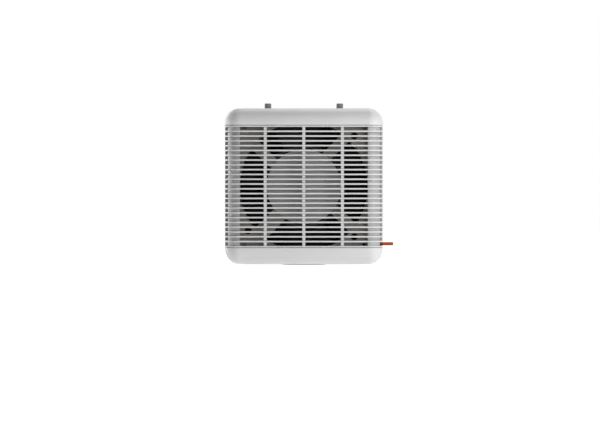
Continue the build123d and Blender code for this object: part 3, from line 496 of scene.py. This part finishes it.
def makeCap(name, seam, up, node, material, holes):
    reveal, depth, lip = case["reveal"], case["revealDepth"], capShape["lipRound"]
    eased = lip * capShape["lipEase"]
    outside = [(case["wall"], 0), (depth, 0), (depth, reveal), (lip, reveal), (eased, reveal + eased)]
    outside += capProfile(0, reveal + lip)
    inside = capProfile(case["wall"], 0)[1:]
    work = bmesh.new()
    rims = []
    for profile in (outside, inside):
        loops = [[work.verts.new(Vector(p) * mm) for p in planLoop(d, seam + up * h)] for d, h in profile]
        for loop, nextLoop in zip(loops, loops[1:]):
            bridge(work, loop, nextLoop)
        work.faces.new(loops[-1])
        rims.append(loops[0])
    bridge(work, *rims)
    bmesh.ops.remove_doubles(work, verts=work.verts, dist=capShape["weldMm"] * mm)
    bmesh.ops.recalc_face_normals(work, faces=work.faces)
    mesh = meshFrom(work, name)
    if holes:
        mesh = cutHoles(mesh, holes)
    smoothBelow(mesh, capShape["smoothAngle"])
    return finishPiece(name, mesh, material, "housing", "case_plastic", node)


# Holes in the base: a recess for the foot pad and counterbores for the four tie rods
feet = {"padHole": 19.65, "padDepth": 1.5, "rodX": 62.0, "rodY": (-19.0, 21.6), "rodHole": 3.9, "rodSeat": 7.8}
baseHoles = [(x, y, feet["rodHole"], drill["startZ"], feet["rodSeat"])
             for x in (-feet["rodX"], feet["rodX"]) for y in feet["rodY"]]
baseHoles.append((0, 0, feet["padHole"], drill["startZ"], case["base"] + feet["padDepth"]))
makeCap("topCap", case["highSeam"], 1, "top_cap", casePlastic, None)
makeCap("bottomCap", case["lowSeam"], -1, "bottom_cap", basePlastic, baseHoles)
print("case made")

# Turned pieces: a profile of radius and height about an axis, with the depth of a thread taken off
turning = {"smoothAngle": 40}


def turnedMesh(name, profile, turnTo, sides, thread=None):
    work = bmesh.new()
    rings = []
    for radius, height in profile:
        ring = []
        for i in range(sides):
            angle = 2 * math.pi * i / sides
            r = radius if thread is None else radius - thread(angle, height, radius)
            point = Vector((r * math.cos(angle) * mm, r * math.sin(angle) * mm, height * mm))
            ring.append(work.verts.new(turnTo @ point))
        rings.append(ring)
    for ring, nextRing in zip(rings, rings[1:]):
        bridge(work, ring, nextRing)
    work.faces.new(rings[0][::-1])
    work.faces.new(rings[-1])
    bmesh.ops.recalc_face_normals(work, faces=work.faces)
    mesh = meshFrom(work, name)
    smoothBelow(mesh, turning["smoothAngle"])
    return mesh


# M6 studs: a thicker neck in the cap, then a rolled thread of 1 mm pitch up to a turned chamfer
stud = {
    "x": 32.0, "radius": 3.0, "neck": 3.5, "head": 4.5, "headHeight": 1.5, "foot": 133.1, "top": 143.7, "chamfer": 0.3,
    "plain": 139.3, "plainEnd": 0.1, "pitch": 1.0, "threadDepth": 0.25, "threadFlank": 2.2, "runIn": 0.4,
    "sameRadius": 0.01, "rows": 70, "sides": 40,
}


def studThread(angle, height, radius):
    if abs(radius - stud["radius"]) > stud["sameRadius"] or height < stud["plain"]:
        return 0.0
    phase = (height / stud["pitch"] - angle / (2 * math.pi)) % 1.0
    groove = max(0.0, 1 - abs(2 * phase - 1) * stud["threadFlank"])
    return stud["threadDepth"] * groove * min(1.0, (height - stud["plain"]) / stud["runIn"])


def makeStud(name, x, node):
    low, top, radius, rows = stud["foot"], stud["top"], stud["radius"], stud["rows"]
    seat = low + stud["headHeight"]
    profile = [(stud["head"], low), (stud["head"], seat), (stud["neck"], seat), (stud["neck"], case["top"]),
               (radius, case["top"]), (radius, stud["plain"] - stud["plainEnd"])]
    threaded = top - stud["chamfer"] - stud["plain"]
    profile += [(radius, stud["plain"] + threaded * i / rows) for i in range(rows + 1)]
    profile += [(radius - stud["chamfer"], top)]
    mesh = turnedMesh(name, profile, Matrix.Translation((x * mm, 0, 0)), stud["sides"], studThread)
    return finishPiece(name, mesh, studSteel, "housing", "stud_steel", node)


makeStud("studLeft", -stud["x"], "stud_left")
makeStud("studRight", stud["x"], "stud_right")

# Copper stub: drawn rod, its cut end dressed round, in the middle of the lowest slot
stub = {
    "y": -13.0, "radius": 1.45, "fromX": 58.3, "toX": 79.4, "endRound": 0.45, "roundAt": (22, 45, 67, 90), "sides": 32,
}
stub["z"] = case["lowSeam"] + grille["railHeight"] + (slotHeight + grille["endExtra"]) / 2


def makeStub():
    r, e, end = stub["radius"], stub["endRound"], stub["toX"]
    profile = [(r, stub["fromX"]), (r, end - e)]
    for a in map(math.radians, stub["roundAt"]):
        profile.append((r - e * (1 - math.cos(a)), end - e * (1 - math.sin(a))))
    lay = Matrix.Translation((0, stub["y"] * mm, stub["z"] * mm)) @ Matrix.Rotation(math.radians(90), 4, "Y")
    mesh = turnedMesh("copperStub", profile, lay, stub["sides"])
    return finishPiece("copperStub", mesh, copperRod, "housing", "copper", "copper_probe")


makeStub()

# Foot: moulded pad with a rounded lower edge and a shallow ring groove underneath
pad = {
    "radius": 19.5, "height": 2.3, "round": 0.5, "roundAt": (30, 60, 90), "groove": (14.0, 15.4), "grooveDepth": 0.4,
    "grooveSlope": 0.2, "centre": 0.02, "sides": 72,
}


def makePad():
    r, e, deep, slope = pad["radius"], pad["round"], pad["grooveDepth"], pad["grooveSlope"]
    low, high = pad["groove"]
    profile = [(pad["centre"], 0), (low, 0), (low + slope, deep), (high - slope, deep), (high, 0), (r - e, 0)]
    for a in map(math.radians, pad["roundAt"]):
        profile.append((r - e + e * math.sin(a), e * (1 - math.cos(a))))
    profile += [(r, pad["height"]), (pad["centre"], pad["height"])]
    mesh = turnedMesh("footPad", profile, Matrix.Identity(4), pad["sides"])
    return finishPiece("footPad", mesh, greyRubber, "housing", "grey_rubber", "foot_pad")


makePad()
print("small pieces made")

# Pieces whose solid is right in shape: the same form with its edges eased, by the width at the end of each row
easing = {"mergeMm": 0.004, "flatAngle": 0.8, "edgeAngle": 35, "segments": 2}
easedPieces = [
    ("rearHousing", "rear_housing", casePlastic, "case_plastic", "housing", 0.25),
    ("rearGrille", "rear_grille", casePlastic, "case_plastic", "housing", 0.3),
    ("fanFrame", "fan_frame", castCoat, "fan_casting", "housing", 0.35),
    ("hubCover", "hub_cover", hubPlate, "hub_plate", "housing", 0.15),
    ("impeller", "impeller", blackNylon, "black_plastic", "rotor", 0.2),
    ("powerInlet", "power_inlet", blackNylon, "black_plastic", "housing", 0.2),
]


def copyOfNode(nodeName):
    mesh = nodes[nodeName].data.copy()
    work = bmesh.new()
    work.from_mesh(mesh)
    bmesh.ops.remove_doubles(work, verts=work.verts, dist=easing["mergeMm"] * mm)
    bmesh.ops.dissolve_limit(work, angle_limit=math.radians(easing["flatAngle"]), verts=work.verts, edges=work.edges)
    work.to_mesh(mesh)
    work.free()
    return mesh


def roundEdges(mesh, width):
    holder = addObject("rounding", mesh)
    bevel = holder.modifiers.new("edge", "BEVEL")
    bevel.limit_method = "ANGLE"
    bevel.angle_limit = math.radians(easing["edgeAngle"])
    bevel.width = width * mm
    bevel.segments = easing["segments"]
    bevel.use_clamp_overlap = True
    weighted = holder.modifiers.new("flat faces stay flat", "WEIGHTED_NORMAL")
    weighted.keep_sharp = True
    mesh.shade_smooth()
    return bakeMesh(holder)


for pieceName, nodeName, material, slotName, body, width in easedPieces:
    finishPiece(pieceName, roundEdges(copyOfNode(nodeName), width), material, body, slotName, nodeName)

# The rest are the solids themselves under their own finishes
finishes = {
    zincScrew: ("rear_grille_screws", "plate_screws", "fan_screws", "fan_nuts", "tie_rods", "strap_screws",
                "inlet_nut", "board_screws"),
    zincSheet: ("fan_plate", "stud_strap"),
    blackSteel: ("rotor_cup",),
    groundSteel: ("bearing_outer_rings", "ball_cages", "preload_washer", "shaft", "bearing_inner_rings",
                  "retaining_clip"),
    lamination: ("stator_core",),
    enamelWire: ("stator_windings",),
    ferrite: ("magnet_ring",),
    boardGreen: ("motor_board", "control_board"),
    blackNylon: ("board_components", "leads"),
    blackRubber: ("probe_bush",),
}
for material, names in finishes.items():
    for nodeName in names:
        nodes[nodeName].data.materials.clear()
        nodes[nodeName].data.materials.append(material)
print("solids dressed")

# White studio: the floor is a dimmed light table, so the object is lit from below as well. The floor and the world
# are white to the eye and in reflections, and light the object gently
studio = {
    "worldLight": 0.01, "tableLight": 0.35, "tableAt": (0.0, -0.04), "tableReach": 0.4, "tableFade": 0.1,
    "floorGlow": 0.8, "floorSize": 6.0, "paper": "#F2F2F2",
}


def seenRays(tree):
    path = addNode(tree, "ShaderNodeLightPath").outputs
    seen = path["Is Camera Ray"]
    for kind in ("Is Glossy Ray", "Is Transmission Ray"):
        seen = addNode(tree, "ShaderNodeMath", links={0: seen, 1: path[kind]}, operation="MAXIMUM").outputs[0]
    return seen


def makeWorld():
    world = bpy.data.worlds.new("studio")
    scene.world = world
    world.use_nodes = True
    tree = world.node_tree
    tree.nodes.clear()
    strength = remap(tree, seenRays(tree), toRange=(studio["worldLight"], 1.0))
    sky = addNode(tree, "ShaderNodeBackground", {"Color": (1, 1, 1, 1)}, {"Strength": strength})
    addNode(tree, "ShaderNodeOutputWorld", links={"Surface": sky.outputs["Background"]})


def makeFloor():
    material = bpy.data.materials.new("white paper floor")
    material.use_nodes = True
    tree = material.node_tree
    tree.nodes.clear()
    paper = addNode(tree, "ShaderNodeBsdfDiffuse", {"Color": toLinear(studio["paper"])})
    place = addNode(tree, "ShaderNodeTexCoord").outputs["Object"]
    away = addNode(tree, "ShaderNodeVectorMath", {1: (*studio["tableAt"], 0)}, {0: place}, operation="DISTANCE")
    rim = (studio["tableReach"], studio["tableReach"] + studio["tableFade"])
    table = remap(tree, away.outputs["Value"], rim, (studio["tableLight"], 0.0))
    white = remap(tree, away.outputs["Value"], rim, (studio["floorGlow"], 1.0))
    glow = addNode(tree, "ShaderNodeMapRange", links={"Value": seenRays(tree), "To Min": table, "To Max": white})
    light = addNode(tree, "ShaderNodeEmission", {"Color": (1, 1, 1, 1)}, {"Strength": glow.outputs["Result"]})
    both = addNode(tree, "ShaderNodeAddShader", links={0: paper.outputs[0], 1: light.outputs[0]})
    addNode(tree, "ShaderNodeOutputMaterial", links={"Surface": both.outputs[0]})
    size = studio["floorSize"]
    mesh = bpy.data.meshes.new("floor")
    mesh.from_pydata([(-size, -size, 0), (size, -size, 0), (size, size, 0), (-size, size, 0)], [], [(0, 1, 2, 3)])
    mesh.materials.append(material)
    floor = addObject("floor", mesh)


makeWorld()
makeFloor()

# Soft boxes: place, point looked at, width and height in metres, and power in watts
lamps = {
    "keyRight": {"at": (0.69, -0.44, 0.11), "to": (0, -0.03, 0.07), "size": (0.2, 0.5), "power": 3.3},
    "frontRight": {"at": (0.45, -0.81, 0.1), "to": (0, -0.03, 0.07), "size": (0.2, 0.4), "power": 2.1},
    "highRight": {"at": (0.49, -0.53, 0.47), "to": (0, -0.03, 0.07), "size": (0.3, 0.3), "power": 1.4},
    "frontTop": {"at": (0.0, -0.62, 0.76), "to": (0, -0.03, 0.07), "size": (0.5, 0.5), "power": 0.3},
    "sideLeft": {"at": (-0.77, 0.17, 0.14), "to": (0, -0.03, 0.07), "size": (0.3, 0.5), "power": 2.7},
    "rimLeft": {"at": (-0.66, 0.52, 0.38), "to": (0, -0.03, 0.07), "size": (0.6, 0.6), "power": 2.8},
    "overhead": {"at": (0.15, 0.5, 0.93), "to": (0, 0, 0.13), "size": (0.6, 0.4), "power": 3.8},
}
for name, lamp in lamps.items():
    light = bpy.data.lights.new(name, "AREA")
    light.shape = "RECTANGLE"
    light.size, light.size_y = lamp["size"]
    light.energy = lamp["power"]
    holder = addObject(name, light)
    holder.location = lamp["at"]
    holder.rotation_euler = (Vector(lamp["to"]) - Vector(lamp["at"])).to_track_quat("-Z", "Y").to_euler()
    holder.visible_camera = False

# Long lens square to the front; the shift sets the object a little right of and above the middle, as framed.
# The frame is this wide, in metres, at the plane named here.
view = {
    "distance": 2.95, "planeY": -0.0246, "frameWidth": 0.5307, "shift": (-0.0064, -0.0410), "sensor": 36.0,
    "clip": (0.05, 50),
}
camera = bpy.data.cameras.new("camera")
camera.sensor_width = view["sensor"]
camera.lens = view["sensor"] * view["distance"] / view["frameWidth"]
camera.shift_x, camera.shift_y = view["shift"]
camera.clip_start, camera.clip_end = view["clip"]
eye = addObject("camera", camera)
eye.location = (0, view["planeY"] - view["distance"], case["middle"] * mm)
eye.rotation_euler = (math.radians(90), 0, 0)
scene.camera = eye
print("studio and camera set")
